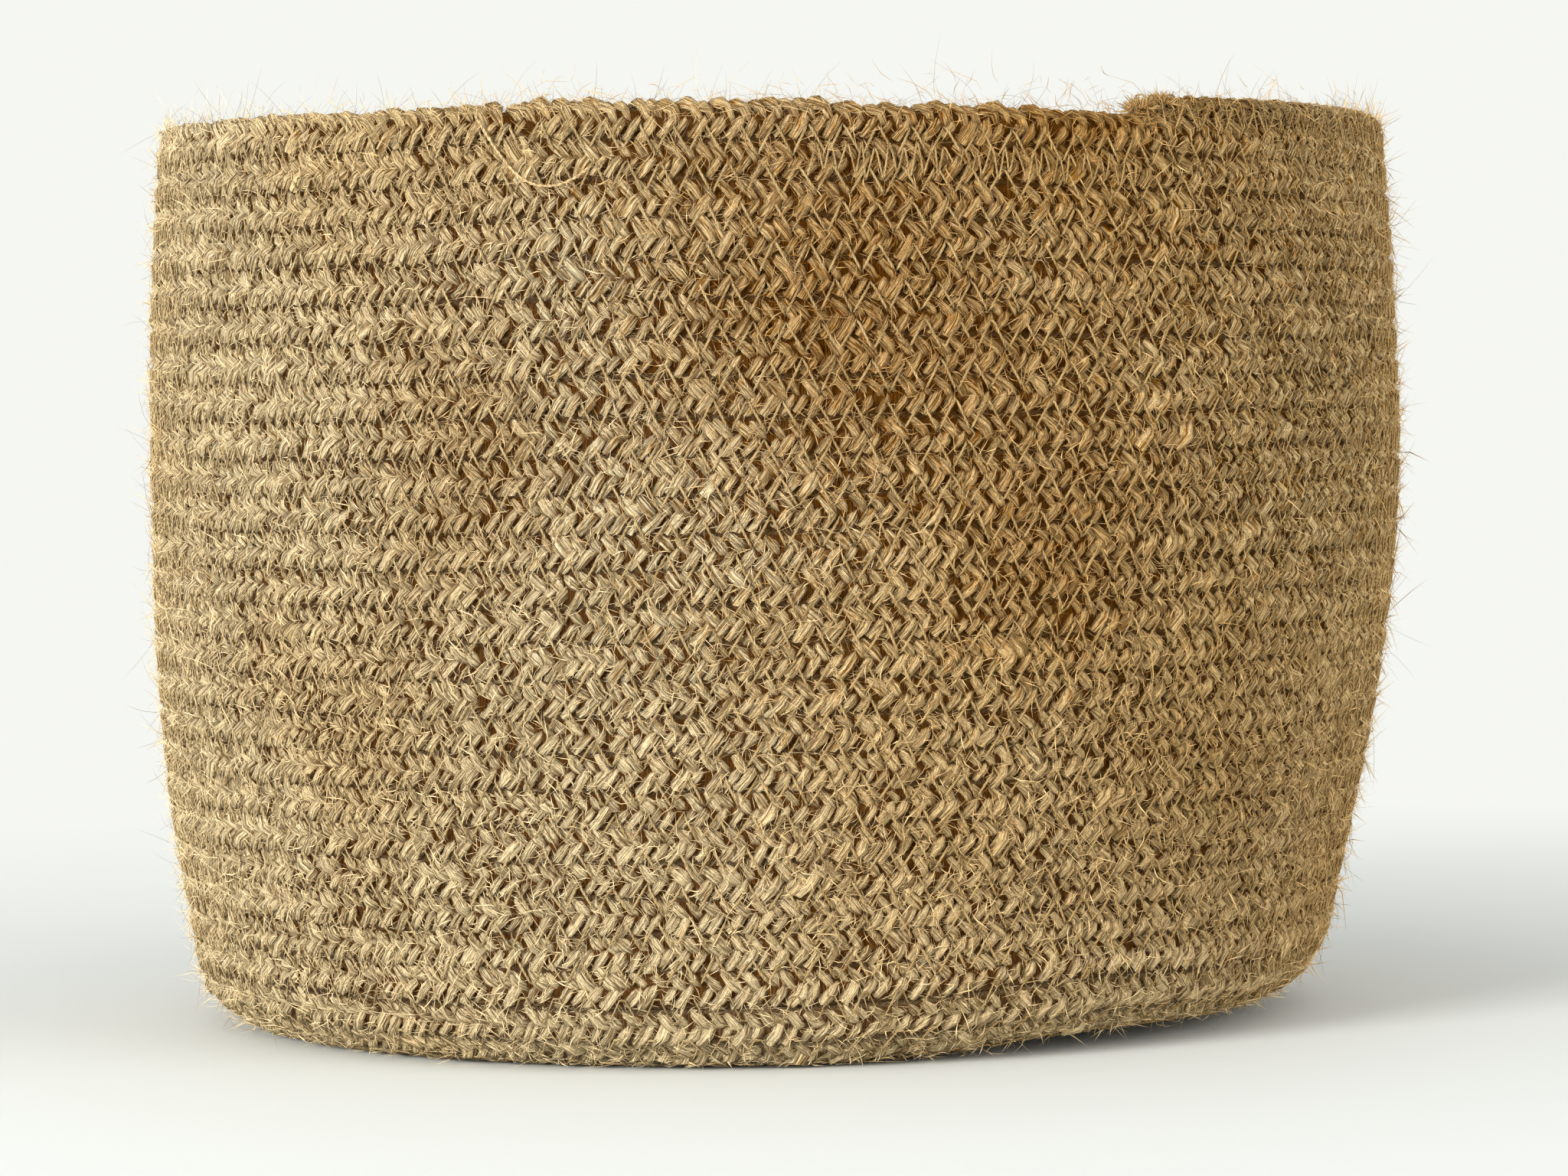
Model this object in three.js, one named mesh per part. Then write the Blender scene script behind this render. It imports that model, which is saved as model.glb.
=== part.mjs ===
// Round storage basket of plaited jute cord, wound as one spiral from the middle of the base
// up to the rim and sewn together turn to turn.
// Millimetres, +Z up, origin on the floor under the middle of the base, front towards -Y.

import * as THREE from 'three';

// Outside shape of the basket
const height = 210; // floor to the highest point of the rim
const bellyRadius = 150; // outside, at the widest turn
const bellyHeight = 138; // floor to the widest turn
const rimRadius = 147; // outside, at the top edge
const baseFlatRadius = 117; // flat of the base, before the heel turns up
const heelRadius = 20; // outside rounding between base and wall

// Plaited cord
const rowPitch = 8; // middle to middle of neighbouring turns
const rowGap = 0.6; // clear space between neighbouring turns
const plaitThickness = 6.5; // through the wall
const plaitFaceWidth = 4; // flat of the inside and outside faces
const footCut = 0.65; // how deep the underside is pressed flat
const startRadius = 4.4; // middle of the cord where the spiral begins
const buttGap = 0.3; // between two lengths of cord that meet end to end
const rimTurns = 2; // turns in the rim length
const wallLengths = ['upper_wall_coil', 'middle_wall_coil', 'lower_wall_coil'];

// Lapped end of the last turn
const endAngle = 33; // degrees from the front towards +X
const taperAngle = 90; // degrees over which the end thins out
const endWidth = 2.6;
const endThickness = 4;

// Sewing threads
const seamThreadRadius = 0.6;
const seamThreadInset = 1.15; // middle of the thread below the faces of the plait
const seamThreadTail = 6; // how far the seam stops short of the lapped end
const lockThreadRadius = 0.35;
const lockStitchPeriod = 3.2;
const lockStitchRun = 1; // along the row, at the top and foot of each stitch
const lockStitchReach = 7.6; // from foot to top
const lockRowLength = 76; // along the rim, from the lapped end leftwards
const threadClearance = 0.3;

// Loose thread on the front: millimetres to the right of the front, and below the rim
const floatThreadRadius = 0.5;
const floatClearance = 0.7;
const floatRoute = [[-62, 3], [-59, 8], [-54, 13], [-49, 16], [-43, 16.5], [-37, 14.5], [-33, 12]];

// Cut strand ends that stand up on the lapped end
const strandEndHeight = 3.2;
const strandEndRadius = 1.6;
const strandEndPlaces = [3, 8.5]; // millimetres back from the tip

// Faceting of the turns
const stepsPerTurn = 20;
const coarseRadius = 76; // inside this the base takes every other step
const strandEndSides = 10;
const floatSides = 6;
const floatSteps = 14;

// Sizes that follow from those above
const stepAngle = (2 * Math.PI) / stepsPerTurn;
const frontAzimuth = -Math.PI / 2;
const plaitWidth = rowPitch - rowGap;
const halfThickness = plaitThickness / 2;
const floorLift = halfThickness - footCut;

const jute = { color: 0x9d8058, roughness: 0.95, metalness: 0 };
const paleJute = { color: 0xb89d70, roughness: 0.9, metalness: 0 };
const brownJute = { color: 0xa3713c, roughness: 0.95, metalness: 0 };

function sinc(angle) {
  return Math.abs(angle) < 1e-9 ? 1 : Math.sin(angle) / angle;
}

// Middle line of the wall as stretches of one bend each: base, heel, lower wall, upper wall.
// A stretch is the outside curve, moved in by half the thickness of the plait.
function wallStretches() {
  const overhang = bellyRadius - baseFlatRadius - heelRadius;
  const lean = 2 * Math.atan(overhang / (bellyHeight + footCut - heelRadius));
  const heelTop = new THREE.Vector2(
    baseFlatRadius + heelRadius * Math.cos(lean),
    heelRadius * (1 - Math.sin(lean)) - footCut,
  );
  const belly = new THREE.Vector2(bellyRadius, bellyHeight);
  const rim = new THREE.Vector2(rimRadius, height);
  const drawIn = 2 * Math.atan((bellyRadius - rimRadius) / (height - bellyHeight));
  const heelTurn = Math.PI / 2 - lean;
  const bent = (chord, turn) => ({ length: chord / sinc(turn / 2) - halfThickness * turn, turn });
  return [
    { length: baseFlatRadius, turn: 0 },
    { length: (heelRadius - halfThickness) * heelTurn, turn: heelTurn },
    bent(heelTop.distanceTo(belly), lean),
    bent(belly.distanceTo(rim), drawIn),
  ];
}

const stretches = wallStretches();
const heelArc = stretches[0].length;
const wallArc = heelArc + stretches[1].length;
const topArc = wallArc + stretches[2].length + stretches[3].length - plaitWidth / 2;

// Point and slope of the middle line at a distance along it from the axis
function profileAt(arc) {
  const point = { r: 0, z: floorLift, slope: 0 };
  let left = arc;
  stretches.forEach(({ length, turn }, index) => {
    const last = index === stretches.length - 1;
    const run = last ? left : Math.min(left, length);
    const bend = (run * turn) / length;
    const chord = run * sinc(bend / 2);
    point.r += chord * Math.cos(point.slope + bend / 2);
    point.z += chord * Math.sin(point.slope + bend / 2);
    point.slope += bend;
    left -= run;
  });
  return point;
}

// Steps are counted back along the cord, from the front centre line towards +X and round.
const endStep = THREE.MathUtils.degToRad(endAngle) / stepAngle;
const taperSteps = THREE.MathUtils.degToRad(taperAngle) / stepAngle;
const arcPerStep = rowPitch / stepsPerTurn;

function arcAt(step) {
  return topArc + arcPerStep * (endStep + taperSteps - step);
}

function stepAt(arc) {
  return endStep + taperSteps + (topArc - arc) / arcPerStep;
}

// Point of the wall at a whole step: across the row upwards, and out of the basket
function wallPoint(step, arc, across, out) {
  const { r, z, slope } = profileAt(arc);
  const radius = r + across * Math.cos(slope) + out * Math.sin(slope);
  const level = z + across * Math.sin(slope) - out * Math.cos(slope);
  const azimuth = frontAzimuth + step * stepAngle;
  return new THREE.Vector3(
    radius * Math.cos(azimuth),
    radius * Math.sin(azimuth),
    Math.max(level, 0),
  );
}

// The same on the flat facet between two whole steps
function facetPoint(step, arc, across, out) {
  const low = Math.floor(step);
  const from = wallPoint(low, arc, across, out);
  const to = wallPoint(low + 1, arc, across, out);
  return from.lerp(to, step - low);
}

// Six corners of the plait at a whole step. The end thins out from above.
function plaitSection(step) {
  const share = THREE.MathUtils.clamp((step - endStep) / taperSteps, 0, 1);
  const width = THREE.MathUtils.lerp(endWidth, plaitWidth, share);
  const out = THREE.MathUtils.lerp(endThickness, plaitThickness, share) / 2;
  const halfFace = (plaitFaceWidth / 2) * (width / plaitWidth);
  const foot = -plaitWidth / 2;
  const middle = foot + width / 2;
  const corners = [
    [foot, 0],
    [middle - halfFace, out],
    [middle + halfFace, out],
    [foot + width, 0],
    [middle + halfFace, -out],
    [middle - halfFace, -out],
  ];
  return corners.map(([across, off]) => wallPoint(step, arcAt(step), across, off));
}

// Three corners of a seam thread in the groove above a turn, on one side of the wall
function threadSection(side) {
  const seat = halfThickness - seamThreadInset;
  const halfWidth = seamThreadRadius * Math.cos(Math.PI / 6);
  const corners = [
    [0, seat - seamThreadRadius],
    [-halfWidth, seat + seamThreadRadius / 2],
    [halfWidth, seat + seamThreadRadius / 2],
  ];
  return (step) => {
    const arc = arcAt(step) + rowPitch / 2;
    return corners.map(([across, off]) => wallPoint(step, arc, across, side * off));
  };
}

function strideAt(step) {
  return arcAt(step) < coarseRadius ? 2 : 1;
}

// Section cut square across a facet, moved along it by a few tenths where two lengths meet
function squareSection(sectionAt, step, shift) {
  const stride = strideAt(step);
  const low = Math.floor(step / stride) * stride;
  const from = sectionAt(low);
  const to = sectionAt(low + stride);
  const share = (step - low) / stride;
  const middle = (points) => points.reduce((sum, point) => sum.add(point), new THREE.Vector3())
    .divideScalar(points.length);
  const start = middle(from);
  const along = middle(to).sub(start);
  const cut = start.addScaledVector(along, share);
  along.normalize();
  cut.addScaledVector(along, shift);
  return from.map((point, index) => {
    const edge = to[index].clone().sub(point);
    const reach = cut.clone().sub(point).dot(along) / edge.dot(along);
    return point.clone().addScaledVector(edge, reach);
  });
}

// Rings of a wound length from one step back to another, each end pulled in by a trim
function woundRings(sectionAt, fromStep, toStep, fromTrim, toTrim) {
  const rings = [squareSection(sectionAt, fromStep, fromTrim)];
  for (let step = Math.floor(fromStep) + 1; step < toStep; step += 1) {
    if (step % strideAt(step) === 0) rings.push(sectionAt(step));
  }
  rings.push(squareSection(sectionAt, toStep, -toTrim));
  return rings;
}

function signedVolume(points, index) {
  let volume = 0;
  for (let corner = 0; corner < index.length; corner += 3) {
    const [a, b, c] = index.slice(corner, corner + 3).map((place) => points[place]);
    volume += a.dot(b.clone().cross(c)) / 6;
  }
  return volume;
}

// Closed tube through rings of as many points each, with its faces outwards
function tubeThroughRings(rings) {
  const sides = rings[0].length;
  const points = rings.flat();
  const index = [];
  for (let ring = 0; ring < rings.length - 1; ring += 1) {
    for (let side = 0; side < sides; side += 1) {
      const next = (side + 1) % sides;
      const [a, b] = [ring * sides + side, ring * sides + next];
      index.push(a, b, b + sides, a, b + sides, a + sides);
    }
  }
  const lastRing = (rings.length - 1) * sides;
  for (let side = 1; side < sides - 1; side += 1) {
    index.push(0, side + 1, side);
    index.push(lastRing, lastRing + side, lastRing + side + 1);
  }
  if (signedVolume(points, index) < 0) index.reverse();
  const geometry = new THREE.BufferGeometry().setFromPoints(points);
  geometry.setIndex(index);
  const facets = geometry.toNonIndexed();
  facets.computeVertexNormals();
  return facets;
}

// Rings of a thread laid on the wall, mitred where it bends. Each stop has a point and the
// direction out of the wall there.
function laidThreadRings(stops, radius, sides) {
  return stops.map(({ point, outward }, place) => {
    const before = stops[Math.max(place - 1, 0)].point;
    const after = stops[Math.min(place + 1, stops.length - 1)].point;
    const arriving = point.clone().sub(before).normalize();
    const leaving = after.clone().sub(point).normalize();
    const heading = arriving.clone().add(leaving).normalize();
    const straight = place === 0 ? leaving : arriving;
    const mitre = 1 / Math.max(heading.dot(straight), 0.3);
    const sideways = outward.clone().cross(heading).normalize();
    const upright = heading.clone().cross(sideways).normalize();
    return Array.from({ length: sides }, (_, side) => {
      const angle = (2 * Math.PI * side) / sides;
      return point.clone()
        .addScaledVector(sideways, radius * mitre * Math.sin(angle))
        .addScaledVector(upright, radius * Math.cos(angle));
    });
  });
}

function stopOnWall(step, arc, out) {
  const point = facetPoint(step, arc, 0, out);
  const outward = point.clone().sub(facetPoint(step, arc, 0, 0)).normalize();
  return { point, outward };
}

function rimRadiusAt(arc) {
  return profileAt(arc).r + halfThickness;
}

// Close zigzag over the second row, left of the lapped end
function lockStitchStops() {
  const out = halfThickness + threadClearance + lockThreadRadius;
  const halfPeriod = lockStitchPeriod / 2;
  const strokes = Math.floor(lockRowLength / halfPeriod);
  const radius = rimRadiusAt(topArc - 2 * rowPitch);
  const stops = [];
  for (let stroke = 0; stroke <= strokes; stroke += 1) {
    const rise = (stroke % 2 === 0 ? -1 : 1) * (lockStitchReach / 2);
    for (const run of [-lockStitchRun / 2, lockStitchRun / 2]) {
      const along = (stroke * halfPeriod + run + lockStitchRun) / radius;
      const step = endStep - along / stepAngle;
      const rowArc = arcAt(step + 2 * stepsPerTurn);
      stops.push(stopOnWall(step, rowArc + rise, out));
    }
  }
  return stops;
}

// Loose thread that leaves the rim, hangs over three rows and goes back into the wall
function floatThreadGeometry() {
  const out = halfThickness + floatClearance + floatThreadRadius;
  const points = floatRoute.map(([right, below]) => {
    const arc = topArc + plaitWidth / 2 - below;
    const step = right / rimRadiusAt(arc) / stepAngle;
    return facetPoint(step, arc, 0, out);
  });
  const outline = new THREE.Shape();
  for (let side = 0; side < floatSides; side += 1) {
    const angle = (2 * Math.PI * side) / floatSides;
    const corner = [floatThreadRadius * Math.cos(angle), floatThreadRadius * Math.sin(angle)];
    if (side === 0) outline.moveTo(...corner);
    else outline.lineTo(...corner);
  }
  outline.closePath();
  return new THREE.ExtrudeGeometry(outline, {
    extrudePath: new THREE.CatmullRomCurve3(points),
    steps: floatSteps,
    curveSegments: 1,
    bevelEnabled: false,
  });
}

// Cut end of one strand: a short stub with a frayed, rounded head
function strandEndGeometry() {
  const head = strandEndRadius;
  const profile = [
    new THREE.Vector2(0, 0),
    new THREE.Vector2(head * 0.7, 0),
    new THREE.Vector2(head, strandEndHeight * 0.45),
    new THREE.Vector2(head * 0.85, strandEndHeight * 0.8),
    new THREE.Vector2(head * 0.4, strandEndHeight),
    new THREE.Vector2(0, strandEndHeight),
  ];
  const stub = new THREE.LatheGeometry(profile, strandEndSides);
  stub.rotateX(Math.PI / 2);
  return stub;
}

// Top edge of the lapped end, a distance back from its tip
function lappedEndTop(back) {
  const step = endStep + back / rimRadiusAt(topArc) / stepAngle;
  const low = Math.floor(step);
  const highest = (corners) => corners.reduce((top, corner) => (corner.z > top.z ? corner : top));
  return highest(plaitSection(low)).lerp(highest(plaitSection(low + 1)), step - low);
}

function midFacet(arc) {
  return Math.floor(stepAt(arc)) + 0.5;
}

// Least distance between neighbouring turns, on the corners of the plait along each facet
function leastGapBetweenTurns() {
  const sectionBetween = (step) => {
    const low = Math.floor(step);
    const to = plaitSection(low + 1);
    return plaitSection(low).map((point, corner) => point.lerp(to[corner], step - low));
  };
  let least = Infinity;
  for (let step = endStep; step < stepAt(coarseRadius) - stepsPerTurn; step += 0.25) {
    const upper = sectionBetween(step);
    const lower = sectionBetween(step + stepsPerTurn);
    for (const point of upper) {
      for (const other of lower) least = Math.min(least, point.distanceTo(other));
    }
  }
  return least;
}

const startStep = 2 * Math.floor(stepAt(startRadius) / 2) + 1;
const heelStep = midFacet(heelArc);
const wallStep = midFacet(wallArc);
const rimStep = Math.floor(endStep + rimTurns * stepsPerTurn) + 0.5;
const bandSteps = Math.round((wallStep - rimStep) / wallLengths.length);
const halfButt = buttGap / 2;

const basket = new THREE.Group();

function addPiece(name, geometry, finish) {
  const piece = new THREE.Mesh(geometry, new THREE.MeshStandardMaterial(finish));
  piece.name = name;
  basket.add(piece);
  return piece;
}

function addPlait(name, fromStep, toStep, fromTrim, toTrim) {
  const rings = woundRings(plaitSection, fromStep, toStep, fromTrim, toTrim);
  addPiece(name, tubeThroughRings(rings), jute);
}

addPlait('rim_coil', endStep, rimStep, 0, halfButt);
wallLengths.forEach((name, band) => {
  const last = band === wallLengths.length - 1;
  const fromStep = rimStep + band * bandSteps;
  addPlait(name, fromStep, last ? wallStep : fromStep + bandSteps, halfButt, halfButt);
});
addPlait('heel_coil', wallStep, heelStep, halfButt, halfButt);
addPlait('base_coil', heelStep, startStep, halfButt, 0);

const seamTail = seamThreadTail / rimRadiusAt(topArc) / stepAngle;
const seamEnd = endStep + stepsPerTurn + seamTail;
for (const [name, side] of [['outer_seam_thread', 1], ['inner_seam_thread', -1]]) {
  const rings = woundRings(threadSection(side), seamEnd, startStep, 0, 0);
  addPiece(name, tubeThroughRings(rings), paleJute);
}

const lockRings = laidThreadRings(lockStitchStops(), lockThreadRadius, 3);
addPiece('rim_lock_stitches', tubeThroughRings(lockRings), paleJute);
addPiece('rim_thread_float', floatThreadGeometry(), paleJute);

strandEndPlaces.forEach((back, place) => {
  const strandEnd = addPiece(`strand_end_${place + 1}`, strandEndGeometry(), brownJute);
  strandEnd.position.copy(lappedEndTop(back));
  strandEnd.position.z += threadClearance;
});

console.log(`least gap between turns: ${leastGapBetweenTurns().toFixed(2)} mm`);

export default basket;
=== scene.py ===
"""Round storage basket of plaited jute cord, wound as one spiral and sewn turn to turn.

Lengths are in millimetres up to the last step of each piece, which turns them into metres.
A place on the basket is a step back along the cord, a distance up the wall (arc), and from
there a distance across the row and out of the wall.
"""

import math

import bpy
import numpy as np
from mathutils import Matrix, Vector


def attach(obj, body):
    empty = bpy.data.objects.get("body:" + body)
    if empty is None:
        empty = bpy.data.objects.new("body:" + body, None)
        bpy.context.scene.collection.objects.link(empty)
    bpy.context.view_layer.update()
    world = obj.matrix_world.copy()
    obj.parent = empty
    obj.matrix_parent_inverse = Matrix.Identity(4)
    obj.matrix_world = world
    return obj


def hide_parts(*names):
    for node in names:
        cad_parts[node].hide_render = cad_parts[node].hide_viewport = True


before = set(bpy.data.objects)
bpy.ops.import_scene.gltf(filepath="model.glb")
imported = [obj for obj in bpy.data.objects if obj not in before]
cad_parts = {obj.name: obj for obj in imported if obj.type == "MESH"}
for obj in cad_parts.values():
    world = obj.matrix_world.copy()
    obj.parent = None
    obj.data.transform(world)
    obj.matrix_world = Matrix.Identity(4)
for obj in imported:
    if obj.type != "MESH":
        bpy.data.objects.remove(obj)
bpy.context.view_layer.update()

# Outside shape of the basket, as in the part's source
HEIGHT = 210.0
BELLY_RADIUS = 150.0
BELLY_HEIGHT = 138.0
RIM_RADIUS = 147.0
BASE_FLAT_RADIUS = 117.0
HEEL_RADIUS = 20.0

# The cord and how it is wound
ROW_PITCH = 8.0
PLAIT_WIDTH = 7.4
HALF_THICKNESS = 3.25
FOOT_CUT = 0.65
START_RADIUS = 4.4
STEPS_PER_TURN = 20
END_DEGREES = 33  # where the cord ends, round from the front
END_STEP = END_DEGREES / 360 * STEPS_PER_TURN
TAPER_STEPS = 90 / 360 * STEPS_PER_TURN
RIM_TURNS = 2
WALL_BANDS = ("upper_wall", "middle_wall", "lower_wall")

# The plait of three strands
PLAIT_PERIOD = 11.1  # along the cord, for one strand to come back to the same edge
STRAIGHTNESS = 0.95  # near 1, a strand runs straight from edge to edge and turns sharply
STRAND_SWING = 3.2  # across the row, each way
STRAND_DIVE = 1.8  # out of the wall, each way
STRAND_HALF_WIDTH = 1.4
EDGE_NARROWING = 0.15  # less half width where a strand folds over at an edge of the row
DEEPENING = 1.0  # more half depth where a strand crosses no other: at an edge, in the middle
ROW_TILT = 0.1  # the lower edge of each row stands out, as on clapboards
STRAND_HALF_DEPTH = 1.3
STRAND_SIDES = 5
UNDER_TURN, OVER_TURN = 30, 150  # where in each half turn a strand is deepest and highest
RING_TURNS = np.radians((UNDER_TURN, 72, 108, OVER_TURN, 180))
BASE_RING_TURNS = np.radians((UNDER_TURN, 90, OVER_TURN))
STRAND_SLANT = 1.35  # how much longer a strand is than its cord
STRAND_GIRTH, CORE_GIRTH = 7.2, 20.0
CORE_SPACING = 3.6
CORE_HALF_DEPTH = 1.7
# How much painted shade the core, its ridges and the folded first end get: the lower, the darker
CORE_SHADE_RELIEF = 0.3
RIDGE, RIDGE_HALF_WIDTH = 0.35, 1.0  # how far the core's fibres bulge out in the grooves
RIDGE_SHADE_RELIEF = 0.4
FOLD_REACH, FOLD_HALF_WIDTH, FOLD_HALF_DEPTH = 3.6, 3.2, 2.3  # the cord's first end
FOLD_SHADE_RELIEF = 0.62
BASE_SHADE_EASING = 0.22  # less painted shade in the grooves of the base

# The give of the soft basket
RIM_RISE, RIM_WAVE, RIM_WAVE_TURN = 1.3, 2.6, 2 * math.pi * 0.92
RIM_TILT, RIM_DIPS = 0.028, (1.8, 0.9)  # down to the right, and at the left and right ends
WALL_TILT, TILT_FROM = 0.010, -130.0  # the rows climb a little to the right
FOOT_TILT, FOOT_HUMP = 0.034, 1.9  # the right of the base stands off the floor
HUMP_PLACE, HUMP_REACH = 72.0, 27.0
TALLER, SLIMMER, TOP_LEAN = 0.006, 1.5, 5.2
SWELLINGS = ((0.9, 2, 0.6, 75), (0.6, 3, 2.1, -48), (0.4, 5, 0.0, 33))

# The zigzag seams
STITCH_LENGTH = 7.4
STITCH_REACH = 3.25  # each way from the groove between two rows
HOLE_DEPTH = 1.7
THREAD_RADIUS = 0.25
THREAD_SHARE = 0.6  # how much of the tilt of the rows the threads follow
PLY_TURN = 5.2  # radians for each millimetre along
LOCK_RUN = 76.0
LOCK_LENGTH = 3.2
LOCK_REACH = 3.9
END_TUCK, END_TUCK_RUN = 2.4, 16.0  # how far the tip of the cord is pulled down
OVERCAST_RUN = 118.0
OVERCAST_LENGTH = 4.6

# The slack stitch, of two plies
PLY_RADIUS, PLY_LAY = 0.2, 4.2  # a ply winds once round the other in each lay
# Its route: right of the front, below the top edge and out of the middle of the wall
FLOAT_ROUTE = (
    (-68.4, 1.6, 1.6),
    (-67.2, 2.4, 3.7),
    (-64.8, 5.6, 4.1),
    (-61.2, 10.4, 4.0),
    (-57.0, 14.6, 4.5),
    (-52.6, 17.0, 4.3),
    (-47.6, 17.3, 4.3),
    (-43.2, 15.8, 4.1),
    (-40.2, 13.6, 3.4),
    (-39.0, 12.4, 1.6),
)

# Loose fibres
HAIR_TOP = 226.0  # none reaches above this
TUFT_FIBRES = 380  # in each frayed strand end
NAP_FIBRES, NAP_BANDS = 22500, 3
NAP_KEPT = 0.56  # share of the roots along a strand that lie on the side asked for
FLUFF_FIBRES, FUZZ_FIBRES, FLUFF_BANDS = 4500, 18500, 2
INNER_FIBRES, BASE_FIBRES = 5000, 2500
WALL_HAIRS = ((1, 2600), (-1, 500))  # side, count
# Hairs on the rim: count, longest, middle of the logarithm of their lengths, standing or lying
RIM_HAIRS = ((1200, 4.5, 0.9, True), (300, 11, 1.75, True), (2200, 6, 1.2, False))


def drift(seed, at, spacing):
    """Smooth random run along a length, from about -1 to 1, with a new value every spacing."""
    place = np.asarray(at, float) / spacing
    knot = np.floor(place).astype(int)
    values = np.random.default_rng(seed).uniform(-1, 1, int(knot.max()) + 2)
    share = place - knot
    share = share * share * (3 - 2 * share)
    return values[knot] * (1 - share) + values[knot + 1] * share


def eased(value, low, high):
    """0 up to low, 1 from high on, and smooth between them."""
    share = np.clip((value - low) / (high - low), 0, 1)
    return share * share * (3 - 2 * share)


def wall_stretches():
    """Middle line of the wall as stretches of one bend each: base, heel, lower, upper wall."""
    overhang = BELLY_RADIUS - BASE_FLAT_RADIUS - HEEL_RADIUS
    lean = 2 * math.atan(overhang / (BELLY_HEIGHT + FOOT_CUT - HEEL_RADIUS))
    heel_top = (
        BASE_FLAT_RADIUS + HEEL_RADIUS * math.cos(lean),
        HEEL_RADIUS * (1 - math.sin(lean)) - FOOT_CUT,
    )
    belly, rim = (BELLY_RADIUS, BELLY_HEIGHT), (RIM_RADIUS, HEIGHT)
    draw_in = 2 * math.atan((BELLY_RADIUS - RIM_RADIUS) / (HEIGHT - BELLY_HEIGHT))
    heel_turn = math.pi / 2 - lean

    def bent(low, high, turn):
        chord = math.dist(low, high)
        return chord * (turn / 2) / math.sin(turn / 2) - HALF_THICKNESS * turn, turn

    return (
        (BASE_FLAT_RADIUS, 0.0),
        ((HEEL_RADIUS - HALF_THICKNESS) * heel_turn, heel_turn),
        bent(heel_top, belly, lean),
        bent(belly, rim, draw_in),
    )


STRETCHES = wall_stretches()
HEEL_ARC = STRETCHES[0][0]
WALL_ARC = HEEL_ARC + STRETCHES[1][0]
TOP_ARC = sum(length for length, _ in STRETCHES) - PLAIT_WIDTH / 2


def profile(arc):
    """Radius, height and slope of the wall's middle line at distances along it."""
    left = np.array(arc, float)
    radius = np.zeros_like(left)
    level = np.full_like(left, HALF_THICKNESS - FOOT_CUT)
    slope = np.zeros_like(left)
    for place, (length, turn) in enumerate(STRETCHES):
        run = left if place == len(STRETCHES) - 1 else np.minimum(left, length)
        bend = run * turn / length
        chord = run * np.sinc(bend / 2 / np.pi)
        radius += chord * np.cos(slope + bend / 2)
        level += chord * np.sin(slope + bend / 2)
        slope = slope + bend
        left = left - run
    return radius, level, slope


def arc_at(step):
    return TOP_ARC + ROW_PITCH / STEPS_PER_TURN * (END_STEP + TAPER_STEPS - step)


def step_at(arc):
    return END_STEP + TAPER_STEPS + (TOP_ARC - arc) * STEPS_PER_TURN / ROW_PITCH


def mid_facet(arc):
    return math.floor(step_at(arc)) + 0.5


START_STEP = 2 * math.floor(step_at(START_RADIUS) / 2) + 1
FOLDED_STEP = START_STEP + 8  # the first end of the cord is folded in and closes the middle
HEEL_STEP = mid_facet(HEEL_ARC)
WALL_STEP = mid_facet(WALL_ARC)
RIM_STEP = math.floor(END_STEP + RIM_TURNS * STEPS_PER_TURN) + 0.5
BAND_STEPS = round((WALL_STEP - RIM_STEP) / len(WALL_BANDS))

# Length of cord from its end at the rim back to each step
cord_steps = np.arange(END_STEP, FOLDED_STEP + 0.05, 0.05)
cord_radii = profile(arc_at(cord_steps))[0]
cord_lengths = np.concatenate(
    [[0], np.cumsum((cord_radii[1:] + cord_radii[:-1]) / 2 * np.diff(cord_steps))]
) * (2 * math.pi / STEPS_PER_TURN)
cord_wave = 0.3 * drift(11, cord_lengths, 38) + 0.16 * drift(12, cord_lengths, 11)
cord_swell = 1 + 0.05 * drift(13, cord_lengths, 45) + 0.03 * drift(14, cord_lengths, 12)


def length_at(step):
    return np.interp(step, cord_steps, cord_lengths)


def step_for(length):
    return np.interp(length, cord_lengths, cord_steps)


def lengths_of_turn(step):
    """Length of cord in the turn above each step."""
    return length_at(step) - length_at(step - STEPS_PER_TURN)


def steps_along_rim(length, out=0.0):
    """Steps in a length along the rim, measured at out from the middle of the wall."""
    return length / (float(profile(TOP_ARC)[0]) + out) * STEPS_PER_TURN / (2 * math.pi)


def wave_at(step):
    """How far the row strays up or down the wall."""
    return np.interp(step, cord_steps, cord_wave)


def row_arc(step):
    """Distance up the wall of the middle of the row."""
    return arc_at(step) + wave_at(step)


def rim_share(step):
    """1 on the uppermost row, whose upper edge is the rim, and 0 below it."""
    below = END_STEP + STEPS_PER_TURN
    return 1 - eased(step, below - 1, below + 1)


def end_share(step):
    """0 at the tip of the lapped end, 1 where the cord has its full thickness."""
    return np.clip((step - END_STEP) / TAPER_STEPS, 0, 1)


def end_tuck(length):
    """How far the cord is pulled down at a length from its end at the rim."""
    return END_TUCK * (1 - eased(length, 0, END_TUCK_RUN))


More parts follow.
